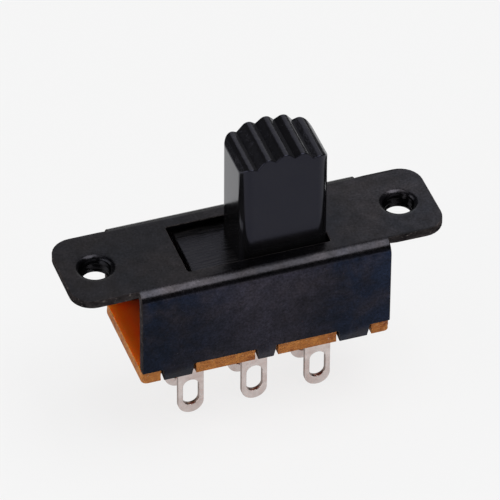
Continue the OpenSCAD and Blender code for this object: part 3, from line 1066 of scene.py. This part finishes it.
def makeSpring():
    low, high = nodeBox("spring_rear")
    centre = (low + high) / 2
    coilRadius = (high.x - low.x - spring["wire"]) / 2
    rise = (high.z - low.z - spring["wire"]) / spring["turns"]
    objectMode()
    bpy.ops.mesh.primitive_circle_add(vertices=spring["ringSides"], radius=spring["wire"] / 2,
                                      location=(coilRadius, 0, 0), rotation=(math.radians(90), 0, 0))
    coil = bpy.context.object
    applyTransform()
    useModifier(coil, "SCREW", axis="Z", screw_offset=rise, iterations=spring["turns"],
                steps=spring["stepsPerTurn"], render_steps=spring["stepsPerTurn"], use_merge_vertices=True,
                merge_threshold=spring["merge"])
    editMode(coil)
    bpy.ops.mesh.select_mode(type="EDGE")
    bpy.ops.mesh.select_all(action="DESELECT")
    bpy.ops.mesh.select_non_manifold()
    bpy.ops.mesh.edge_face_add()  # closes the two cut ends
    turnOutward()
    bpy.ops.transform.translate(value=(centre.x, centre.y, low.z + spring["wire"] / 2))
    objectMode()
    dress(coil, springSteel)
    return coil


pattern = makeSpring()
for rowName, side in rows.items():
    wound = copyTo(pattern, "spring" + rowName.title(), (0, 0, 0), side < 0)
    settle(wound, spring["smooth"])
    fit(wound, "spring_" + rowName, "slider")
bpy.data.objects.remove(pattern)
print("springs wound")


# Floor, light and camera
studio = {
    "floorHalf": 0.42, "white": 0.893, "shadowShare": 0.1, "mirrorShare": 0.79,
    "worldTone": (0.06, 0.06, 0.065, 1), "steep": 0.8,
}
lamps = (  # name, direction from the part, distance, width, height, radiance
    ("overhead", (0.26, -0.19, 0.96), 0.7, 0.34, 0.66, 6.5),
    ("ceiling", (-0.15, -0.10, 0.98), 0.8, 0.4, 0.6, 1.5),
    ("back", (0.29, 0.70, 0.65), 0.9, 0.6, 1.1, 0.98),
    ("left", (-0.92, 0.0, 0.36), 0.7, 1.0, 0.55, 2.3),
    ("front", (0.25, -0.96, 0.12), 0.8, 1.3, 0.22, 1.1),
)
view = {
    "turn": 19.321, "height": 40.113, "roll": 0.473, "distance": 0.515573,
    "aim": (0.000204, -0.001417), "lens": 416.76, "sensor": 36,
}


def makeFloor():
    objectMode()
    bpy.ops.mesh.primitive_plane_add(size=2 * studio["floorHalf"], location=(0, 0, cadBox[0][2]))
    floor = bpy.context.object
    floor.name = "floor"
    material = bpy.data.materials.new("paleFloor")
    material.use_nodes = True
    tree = material.node_tree
    tree.nodes.clear()
    white = (studio["white"],) * 3 + (1,)
    diffuse = addNode(tree, "ShaderNodeBsdfDiffuse", {"Color": white})
    glow = addNode(tree, "ShaderNodeEmission", {"Color": white, "Strength": 1.0})
    path = addNode(tree, "ShaderNodeLightPath").outputs
    seen = addMath(tree, "MAXIMUM", path["Is Camera Ray"], path["Is Transmission Ray"])
    seen = times(tree, seen, 1 - studio["shadowShare"])
    mirrored = times(tree, path["Is Glossy Ray"], studio["mirrorShare"])
    share = addMath(tree, "MAXIMUM", seen, mirrored)
    mix = addNode(tree, "ShaderNodeMixShader")
    for socket, source in zip(mix.inputs, (share, diffuse.outputs[0], glow.outputs[0])):
        plug(tree, socket, source)
    addNode(tree, "ShaderNodeOutputMaterial", {"Surface": mix.outputs[0]})
    dress(floor, material)


def makeWorld():
    world = bpy.data.worlds.new("studio")
    world.use_nodes = True
    background = world.node_tree.nodes["Background"]
    feed(world.node_tree, background, {"Color": studio["worldTone"], "Strength": 1.0})
    scene.world = world


def makeLamps():
    for name, direction, distance, width, height, radiance in lamps:
        light = bpy.data.lights.new(name, "AREA")
        light.shape = "RECTANGLE"
        light.size = width
        light.size_y = height
        light.energy = radiance * math.pi * width * height
        lamp = bpy.data.objects.new(name, light)
        scene.collection.objects.link(lamp)
        towards = Vector(direction).normalized()
        lamp.location = towards * distance
        across = Vector((0, 0, 1)).cross(towards)
        if towards.z > studio["steep"]:
            across = Vector((1, 0, 0))
        across = (across - towards * across.dot(towards)).normalized()
        lamp.rotation_euler = Matrix((across, towards.cross(across), towards)).transposed().to_euler()


def makeCamera():
    turn = math.radians(-view["turn"])
    height = math.radians(view["height"])
    back = Vector((math.sin(turn) * math.cos(height), -math.cos(turn) * math.cos(height), math.sin(height)))
    right = Vector((math.cos(turn), math.sin(turn), 0))
    aim = right * view["aim"][0] + back.cross(right) * view["aim"][1]
    camera = bpy.data.objects.new("camera", bpy.data.cameras.new("camera"))
    scene.collection.objects.link(camera)
    camera.data.lens = view["lens"]
    camera.data.sensor_width = view["sensor"]
    camera.location = aim + back * view["distance"]
    facing = Matrix((right, back.cross(right), back)).transposed()
    facing = facing @ Matrix.Rotation(math.radians(view["roll"]), 3, "Z")
    camera.rotation_euler = facing.to_euler()
    scene.camera = camera


makeFloor()
makeWorld()
makeLamps()
makeCamera()
print("studio set")
